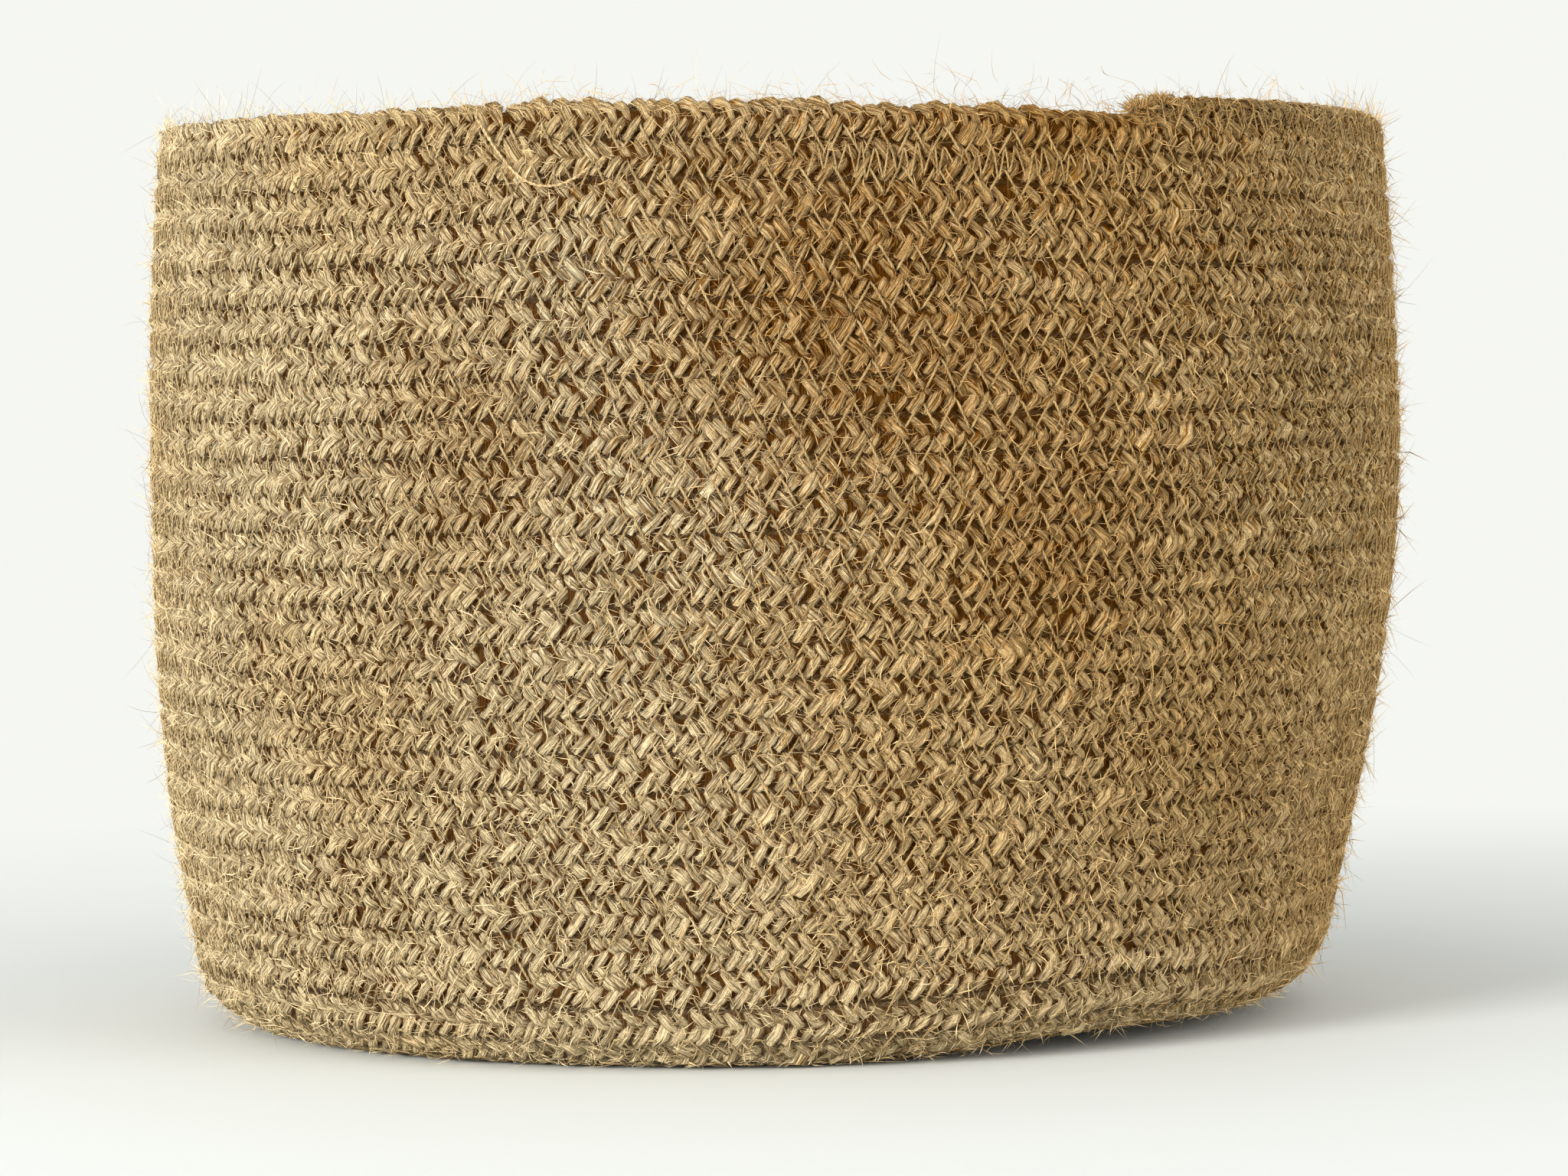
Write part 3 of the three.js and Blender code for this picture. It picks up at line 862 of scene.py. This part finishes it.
def scattered(chance, count, low_arc, high_arc):
    """Even scatter of places between two levels of the wall."""
    arc = chance.uniform(low_arc, high_arc, count * 2)
    radius = profile(arc)[0]
    kept = chance.uniform(0, radius.max(), count * 2) < radius
    arc = arc[kept][:count]
    return chance.uniform(0, STEPS_PER_TURN, len(arc)), arc


def nap_piece(name, seed, count, from_step, to_step, side):
    """Short fibres that have come loose from a strand and still run along it."""
    fluff = Fluff(seed, 1)
    chance = fluff.chance
    low, high = length_at(from_step), length_at(to_step)
    for strand in range(3):
        lengths = chance.uniform(low, high - 1, int(count / 3 / NAP_KEPT))
        across, out, _ = strand_line(lengths, strand)
        lengths, across, out = [v[side * out > -0.15] for v in (lengths, across, out)]
        next_across, next_out, _ = strand_line(lengths + 0.3, strand)
        number = len(lengths)
        heading = np.degrees(np.arctan2(next_across - across, 0.3))
        rise = np.degrees(np.arctan2(side * (next_out - out), 0.4))
        backwards = chance.uniform(0, 1, number) < 0.5
        heading = heading + np.where(backwards, 180, 0) + chance.normal(0, 26, number)
        lean = np.where(backwards, -rise, rise) * 0.6 + np.abs(chance.normal(0, 11, number)) + 3
        round_it = chance.uniform(-1.25, 1.25, number)
        step = step_for(lengths)
        arc = row_arc(step)
        across = across + STRAND_HALF_WIDTH * 0.9 * np.sin(round_it)
        out = out + side * STRAND_HALF_DEPTH * np.cos(round_it)
        root = (step, arc, across, out - ROW_TILT * wall_share(arc) * across)
        length = np.clip(chance.lognormal(1.45, 0.35, number), 1.8, 8.5)
        radius = 0.04 + 0.13 * chance.uniform(0, 1, number) ** 2
        fluff.grow(root, side, lean, heading, length, radius, 0.4)
    return fluff.piece(name, fuzz, "plaited_jute")


def fluff_piece(name, seed, count, low_arc, high_arc, side, groove_share=0.0, rings=1):
    """Surface fibres over a band of the wall, lying anyhow, or along a groove to bridge it."""
    fluff = Fluff(seed, rings)
    chance = fluff.chance
    step, arc = scattered(chance, count, low_arc, high_arc)
    count = len(step)
    heading = chance.uniform(0, 360, count)
    lean = np.abs(chance.normal(2, 12, count))
    length = np.clip(chance.lognormal(1.0 + 0.33 * rings, 0.42, count), 1.8, 14.0)
    radius = chance.uniform(0.04, 0.09, count)
    out = HALF_THICKNESS - chance.uniform(-0.1, 0.9, count)
    in_groove = chance.uniform(0, 1, count) < groove_share
    turns = np.round((arc_at(step) + ROW_PITCH / 2 - arc) / ROW_PITCH)
    groove = arc_at(step) + ROW_PITCH * (0.5 - turns) + wave_at(step + turns * STEPS_PER_TURN)
    arc = np.where(in_groove, groove + chance.normal(0, 0.9, count), arc)
    along_row = chance.normal(0, 42, count) + 180 * chance.integers(0, 2, count)
    heading = np.where(in_groove, along_row, heading)
    lean = np.where(in_groove, lean * 0.6, lean)
    out = side * np.where(in_groove, out - 0.55, out)
    fluff.grow((step, arc, 0 * step, out), side, lean, heading, length, radius, 0.45)
    return fluff.piece(name, fuzz, "plaited_jute")


def rim_top_arc(step):
    """Arc of the top edge of the rim above each place."""
    from_end = (step - END_STEP) / STEPS_PER_TURN % 1
    thin = np.clip(1 - from_end * 4, 0, 1)
    below = np.where(from_end > 0.25, ROW_PITCH * (from_end - 0.25), 2.2 * thin)
    return TOP_ARC + PLAIT_WIDTH / 2 - below


def stray_piece(name, seed):
    """Longer hairs that stand off the wall and the rim."""
    fluff = Fluff(seed, 3)
    chance = fluff.chance
    for side, count in WALL_HAIRS:
        step, arc = scattered(chance, count, HEEL_ARC, TOP_ARC + 2)
        count = len(step)
        heading = chance.uniform(0, 360, count)
        lean = chance.uniform(12, 60, count)
        length = np.clip(chance.lognormal(1.75, 0.4, count), 2.5, 12)
        radius = chance.uniform(0.03, 0.055, count)
        out = np.full(count, side * (HALF_THICKNESS - 0.4))
        fluff.grow((step, arc, 0 * step, out), side, lean, heading, length, radius, 0.6)
    for count, longest, typical, standing in RIM_HAIRS:
        step = chance.uniform(0, STEPS_PER_TURN, count)
        out = chance.uniform(-2.2, 2.2, count)
        lying = chance.choice([0, 180], count) + chance.normal(0, 22, count)
        heading = 90 + chance.normal(0, 52, count) if standing else lying
        length = np.clip(chance.lognormal(typical, 0.45, count), 1.5, longest)
        radius = chance.uniform(0.03, 0.05, count)
        root = (step, rim_top_arc(step) - 0.7, 0 * step, out)
        lean = chance.uniform(-25, 30, count)
        fluff.grow(root, 1, lean, heading, length, radius, 0.7)
    return fluff.piece(name, stray_fuzz, "plaited_jute")


# Materials


class Value:
    """A socket of a material's nodes. Sums on it add Math nodes."""

    def __init__(self, finish, socket):
        self.finish = finish
        self.socket = socket

    def output(self, number):
        """Another output of the same node."""
        return Value(self.finish, self.socket.node.outputs[number])

    def math(self, operation, *others):
        values = {f"in{place}": value for place, value in enumerate((self, *others))}
        return self.finish.node("ShaderNodeMath", {"operation": operation}, **values)

    def __add__(self, other):
        return self.math("ADD", other)

    __radd__ = __add__

    def __sub__(self, other):
        return self.math("SUBTRACT", other)

    def __rsub__(self, other):
        return self.finish.node("ShaderNodeMath", {"operation": "SUBTRACT"}, in0=other, in1=self)

    def __mul__(self, other):
        return self.math("MULTIPLY", other)

    __rmul__ = __mul__

    def between(self, low, high, to_low=0.0, to_high=1.0):
        """This value's share of the way from low to high, held within them and rescaled."""
        return self.finish.node(
            "ShaderNodeMapRange", {"clamp": True},
            Value=self, From_Min=low, From_Max=high, To_Min=to_low, To_Max=to_high,
        )


class Finish:
    """A material made of nodes."""

    def __init__(self, name, **constants):
        self.material = bpy.data.materials.new(name)
        self.material.use_nodes = True
        self.tree = self.material.node_tree
        self.shader = self.tree.nodes["Principled BSDF"]
        for socket, value in constants.items():
            self.shader.inputs[socket.replace("_", " ")].default_value = value

    def node(self, kind, settings=None, output=0, **sockets):
        """Adds a node: its settings first, then its sockets by name, or by number as in0."""
        made = self.tree.nodes.new(kind)
        for setting, value in (settings or {}).items():
            setattr(made, setting, value)
        for socket, value in sockets.items():
            number = socket.removeprefix("in")
            which = int(number) if number.isdigit() else socket.replace("_", " ")
            self.join(value, made.inputs[which])
        return Value(self, made.outputs[output])

    def join(self, value, target):
        """Feeds a socket from a value's node, or sets it to a number or a colour."""
        if isinstance(value, Value):
            self.tree.links.new(value.socket, target)
        else:
            target.default_value = value

    def mix(self, share, first, second, blend="MIX"):
        """Colour between two colours."""
        colours = [c if isinstance(c, Value) else (*c, 1.0) for c in (first, second)]
        settings = {"data_type": "RGBA", "blend_type": blend}
        return self.node(
            "ShaderNodeMix", settings, output=2, in0=share, in6=colours[0], in7=colours[1]
        )

    def place(self):
        """Place on the basket, in metres."""
        return self.node("ShaderNodeTexCoord", output=3)

    def grain(self):
        """Place on the piece's own strand, thread or fibre."""
        return self.node("ShaderNodeAttribute", {"attribute_name": "grain"}, output=1)

    def noise(self, vector, scale, detail=2.0, roughness=0.5):
        return self.node(
            "ShaderNodeTexNoise", {"noise_dimensions": "3D"},
            Vector=vector, Scale=scale, Detail=detail, Roughness=roughness,
        )

    def finished(self, colour, roughness, height=None, depth=0.0003, strength=1.0):
        self.join(colour, self.shader.inputs["Base Color"])
        self.join(roughness, self.shader.inputs["Roughness"])
        if height is not None:
            bump = self.node("ShaderNodeBump", Height=height, Distance=depth, Strength=strength)
            self.join(bump, self.shader.inputs["Normal"])
        return self.material


# Colours of the jute, and painted light on it: the dark and bright fibre colours are partly
# painted shade and highlight on single fibre bundles, the pale colour partly painted light,
# and the last two colours painted shade in the splits and the grooves
DARK_FIBRE_AND_SHADE, FIBRE, BRIGHT_FIBRE_AND_HIGHLIGHT = (0.25, 0.10, 0.002), (0.85, 0.52, 0.18), (1.0, 0.83, 0.53)
FRAYED, PALE = (1.0, 0.81, 0.505), (1.0, 0.785, 0.45)
SPLIT_SHADE, GROOVE_SHADE = (0.15, 0.055, 0.0), (0.13, 0.04, 0.0)
# Tints that multiply its colour
GOLDEN, WORN, BROWN = (1.0, 0.89, 0.7), (0.80, 0.66, 0.44), (0.68, 0.53, 0.33)
GOLDEN_THREAD = (0.95, 0.83, 0.61)

# Browner places on the front: middle and reach in metres, and strength
BROWN_PLACES = (
    ((0.012, -0.15, 0.168), 0.055, 0.6),
    ((-0.064, -0.135, 0.138), 0.038, 0.6),
    ((0.066, -0.135, 0.11), 0.032, 0.5),
    ((0.07, -0.12, 0.19), 0.085, 0.95),
)


def weathering_and_painted_light(finish, colour, place):
    """Browner places, paler to the lower left and more golden to the right. The paler lower
    left is partly a haze of loose fibres and partly painted light on the lit left side and
    on the lower wall.
    """
    patches = finish.noise(place, 9.0, 2.0)
    tufts = finish.noise(place, 190.0, 2.0)
    aside = finish.node("ShaderNodeSeparateXYZ", Vector=place)
    height = aside.output(2)
    # Painted light, and partly a haze of loose fibres: paler to the left and towards the bottom
    pale = aside.between(0.0, -0.1, 0.0, 0.85) + height.between(0.12, 0.03, 0.0, 0.9)
    colour = finish.mix(pale * tufts.between(0.25, 0.5), colour, PALE)
    golden = aside.between(-0.04, 0.1) * height.between(0.0, 0.09, 0.3, 1.0)
    colour = finish.mix(golden, colour, GOLDEN, "MULTIPLY")
    spots = patches.between(0.48, 0.68, 0.0, 0.55)
    colour = finish.mix(spots, colour, WORN, "MULTIPLY")
    for centre, reach, strength in BROWN_PLACES:
        away = finish.node(
            "ShaderNodeVectorMath", {"operation": "DISTANCE"}, output=1, in0=place, in1=centre
        )
        share = away.between(0.2 * reach, reach, strength, 0.0) * patches.between(0.3, 0.5)
        colour = finish.mix(share, colour, BROWN, "MULTIPLY")
    return colour


def jute_finish(name):
    """Plaited jute, streaky with fibres along each strand, and with splits between them. The
    fibres' light and dark is partly their own shades and partly painted shade and highlight;
    the splits, the grooves and the places between the strands get painted shade.
    """
    finish = Finish(name, Specular_IOR_Level=0.02)
    grain, place = finish.grain(), finish.place()
    shade_relief = finish.node("ShaderNodeAttribute", {"attribute_name": "shade_relief"}, output=2)
    fibres = finish.noise(grain, 2.5, 1.5, 0.55)
    hairs = finish.noise(grain, 5.0, 2.0, 0.55)
    tufts = finish.noise(place, 190.0, 2.0)
    # Light and dark fibres: partly their own shades, partly painted shade and highlight on single
    # fibre bundles
    streaks_and_shading = (fibres * 0.6 + hairs * 0.4).between(0.39, 0.50)
    colour = finish.mix(streaks_and_shading.between(0.0, 0.5), DARK_FIBRE_AND_SHADE, FIBRE)
    colour = finish.mix(streaks_and_shading.between(0.4, 1.0), colour, BRIGHT_FIBRE_AND_HIGHLIGHT)
    colour = finish.mix(tufts.between(0.42, 0.7, 0.0, 0.4), colour, FRAYED)
    colour = weathering_and_painted_light(finish, colour, place)
    # Painted shade in thin splits between the fibres, which the bump also sinks
    shaded_split = (finish.noise(grain, 1.1, 0.5) - 0.5).math("ABSOLUTE").between(0.01, 0.055, 0.7, 0.0)
    colour = finish.mix(shaded_split, colour, SPLIT_SHADE)
    # Painted shade in the grooves and between the strands: the less a point stands out, the darker
    shadow = shade_relief.between(0.31, 0.71, 0.96, 0.0)
    colour = finish.mix(shadow, colour, GROOVE_SHADE)
    height = fibres * 0.6 + hairs * 0.4 - shaded_split * 0.3
    return finish.finished(colour, 0.9, height, 0.007, 1.0)


def thread_finish(name, dark, light):
    """Sewing thread: two plies twisted together, a little glossy."""
    finish = Finish(name, Specular_IOR_Level=0.15)
    around = finish.node("ShaderNodeSeparateXYZ", Vector=finish.grain())
    along = around.output(1)
    plies = (around * 2.0 + along * PLY_TURN).math("SINE") * 0.5 + 0.5
    place = finish.place()
    shade = finish.noise(place, 260.0, 1.0)
    colour = finish.mix(plies * 0.55 + shade.between(0.35, 0.65, 0.0, 0.45), dark, light)
    golden = finish.node("ShaderNodeSeparateXYZ", Vector=place).between(-0.04, 0.1)
    colour = finish.mix(golden, colour, GOLDEN_THREAD, "MULTIPLY")
    return finish.finished(colour, 0.6, plies, 0.0002, 0.7)


def fuzz_finish(name, dark, light, aged_and_painted_light=True):
    """Single fibres, each with its own shade."""
    finish = Finish(name, Specular_IOR_Level=0.06)
    shade = finish.noise(finish.grain(), 0.9, 0.0)
    colour = finish.mix(shade.between(0.3, 0.7), dark, light)
    if aged_and_painted_light:
        colour = weathering_and_painted_light(finish, colour, finish.place())
    return finish.finished(colour, 0.65)


def floor_finish(name, backdrop):
    """Pale floor near the basket, which fades into the backdrop for the camera."""
    finish = Finish(name, Specular_IOR_Level=0.2)
    place = finish.place()
    cloud = finish.noise(place, 1.3, 2.0)
    colour = finish.mix(cloud.between(0.3, 0.7), (0.77, 0.80, 0.767), (0.79, 0.82, 0.787))
    finish.finished(colour, 0.7)
    away = finish.node("ShaderNodeVectorMath", {"operation": "LENGTH"}, output=1, in0=place)
    seen = finish.node("ShaderNodeLightPath", output=0)
    glow = finish.node("ShaderNodeEmission", Color=(*backdrop, 1.0), Strength=1.0)
    blend = finish.node("ShaderNodeMixShader", in0=away.between(0.2, 0.62) * seen, in2=glow)
    links = finish.tree.links
    links.new(finish.shader.outputs[0], blend.socket.node.inputs[1])
    links.new(blend.socket, finish.tree.nodes["Material Output"].inputs["Surface"])
    return finish.material


BACKDROP = (0.918, 0.928, 0.885)
jute = jute_finish("plaited_jute")
thread = thread_finish("sewing_thread", (0.18, 0.105, 0.035), (0.56, 0.42, 0.215))
float_thread = thread_finish("slack_thread", (0.36, 0.23, 0.09), (0.72, 0.53, 0.28))
cut_end = fuzz_finish("cut_strand_end", (0.26, 0.14, 0.04), (0.66, 0.44, 0.18), False)
fuzz = fuzz_finish("loose_fibres", (0.44, 0.24, 0.055), (1.0, 0.835, 0.53))
stray_fuzz = fuzz_finish("stray_fibres", (0.09, 0.062, 0.028), (0.42, 0.32, 0.19), False)
pale_floor = floor_finish("pale_floor", BACKDROP)

# Pieces of the basket

plait_piece("rim_plait", END_STEP, RIM_STEP, "rim_coil")
for band, band_name in enumerate(WALL_BANDS):
    top = RIM_STEP + band * BAND_STEPS
    foot = WALL_STEP if band == len(WALL_BANDS) - 1 else top + BAND_STEPS
    halfway = (top + foot) / 2
    plait_piece(f"{band_name}_plait_1", top, halfway, f"{band_name}_coil")
    plait_piece(f"{band_name}_plait_2", halfway, foot, f"{band_name}_coil")
plait_piece("heel_plait", WALL_STEP, HEEL_STEP, "heel_coil")
plait_piece("base_plait", HEEL_STEP, FOLDED_STEP, "base_coil", BASE_RING_TURNS)
core_piece("cord_core", END_STEP + 0.5, FOLDED_STEP)

SEAM_TOP = END_STEP + STEPS_PER_TURN + 0.2
SEAM_HALFWAY = (SEAM_TOP + WALL_STEP) / 2
SEAM_FOOT = START_STEP - 2
SEAMS = (
    ("upper_outer_seam", SEAM_TOP, SEAM_HALFWAY, 1, 4),
    ("lower_outer_seam", SEAM_HALFWAY, WALL_STEP, 1, 4),
    ("base_outer_seam", WALL_STEP, SEAM_FOOT, 1, 3),
    ("wall_inner_seam", SEAM_TOP, WALL_STEP, -1, 3),
    ("base_inner_seam", WALL_STEP, SEAM_FOOT, -1, 3),
)
for seed, (seam_name, top, foot, side, sides) in enumerate(SEAMS, 31):
    seam_node = "outer_seam_thread" if side > 0 else "inner_seam_thread"
    seam_piece(seam_name, top, foot, side, sides, seed, seam_node)

lock_piece("lock_stitches")
rim_overcast_piece("rim_overcast_stitches")
float_piece("slack_stitch")
tuft_piece("strand_end_tuft_1", 71, 3, "strand_end_1")
tuft_piece("strand_end_tuft_2", 72, 8.5, "strand_end_2")

nap_steps = np.linspace(END_STEP, HEEL_STEP, NAP_BANDS + 1)
for band in range(NAP_BANDS):
    start, end = nap_steps[band : band + 2]
    nap_piece(f"outer_nap_{band + 1}", 51 + band, NAP_FIBRES, start, end, 1)
fluff_levels = np.linspace(HEEL_ARC - 6, TOP_ARC + 3, FLUFF_BANDS + 1)
for band in range(FLUFF_BANDS):
    low, high = fluff_levels[band : band + 2]
    fluff_piece(
        f"outer_fluff_{band + 1}", 41 + band, FLUFF_FIBRES, low, high, 1, groove_share=0.4, rings=2
    )
    fluff_piece(f"outer_fuzz_{band + 1}", 43 + band, FUZZ_FIBRES, low, high, 1, groove_share=0.5)
fluff_piece("inner_fluff", 45, INNER_FIBRES, HEEL_ARC, TOP_ARC + 2, -1)
fluff_piece("base_fluff", 46, BASE_FIBRES, 10, HEEL_ARC, -1)
stray_piece("stray_hairs", 47)

# Floor, light and camera

FLOOR_SIZE, FLOOR_GAP = 30, 0.0005
AIM = (0, 0, 0.1)  # what the lamps point at
LENS, SENSOR_WIDTH = 133, 36  # in millimetres
CAMERA_PLACE = (0.0071, -1.394, 0.158)
LOOKING_DOWN, CAMERA_ROLL = 2.37, 0.9  # in degrees


def soft_stage():
    """A wide pale floor."""
    bpy.ops.object.select_all(action="DESELECT")
    bpy.ops.mesh.primitive_plane_add(size=FLOOR_SIZE, location=(0, 0, -FLOOR_GAP))
    floor = bpy.context.object
    floor.name = "pale_floor"
    floor.data.materials.append(pale_floor)


def soft_lamp(name, place, size, watts):
    """A round soft lamp that points at the basket."""
    light = bpy.data.lights.new(name, "AREA")
    light.shape = "DISK"
    light.size = size
    light.energy = watts
    lamp = bpy.data.objects.new(name, light)
    lamp.location = place
    lamp.rotation_euler = (Vector(AIM) - Vector(place)).to_track_quat("-Z", "Y").to_euler()
    bpy.context.scene.collection.objects.link(lamp)


def open_sky(strength, seen):
    """Even light all round, and a pale background for the camera."""
    world = bpy.data.worlds.new("studio")
    bpy.context.scene.world = world
    world.use_nodes = True
    nodes, links = world.node_tree.nodes, world.node_tree.links
    light = nodes["Background"]
    light.inputs["Color"].default_value = (1, 1, 1, 1)
    light.inputs["Strength"].default_value = strength
    view = nodes.new("ShaderNodeBackground")
    view.inputs["Color"].default_value = (*seen, 1)
    view.inputs["Strength"].default_value = 1.0
    path = nodes.new("ShaderNodeLightPath")
    choice = nodes.new("ShaderNodeMixShader")
    links.new(path.outputs["Is Camera Ray"], choice.inputs[0])
    links.new(light.outputs[0], choice.inputs[1])
    links.new(view.outputs[0], choice.inputs[2])
    links.new(choice.outputs[0], nodes["World Output"].inputs["Surface"])


def photo_camera():
    """Looks slightly down at the front from a little above the middle of the basket."""
    lens = bpy.data.cameras.new("camera")
    lens.lens = LENS
    lens.sensor_width = SENSOR_WIDTH
    camera = bpy.data.objects.new("camera", lens)
    bpy.context.scene.collection.objects.link(camera)
    camera.location = CAMERA_PLACE
    camera.rotation_mode = "XYZ"
    camera.rotation_euler = (math.radians(90 - LOOKING_DOWN), math.radians(CAMERA_ROLL), 0)
    bpy.context.scene.camera = camera


soft_stage()
soft_lamp("key", place=(-1.9, -2.1, 0.9), size=1.3, watts=101)
soft_lamp("fill", place=(2.5, -1.6, 0.7), size=2.6, watts=54)
open_sky(strength=0.72, seen=BACKDROP)
photo_camera()
bpy.context.scene.view_settings.view_transform = "Standard"
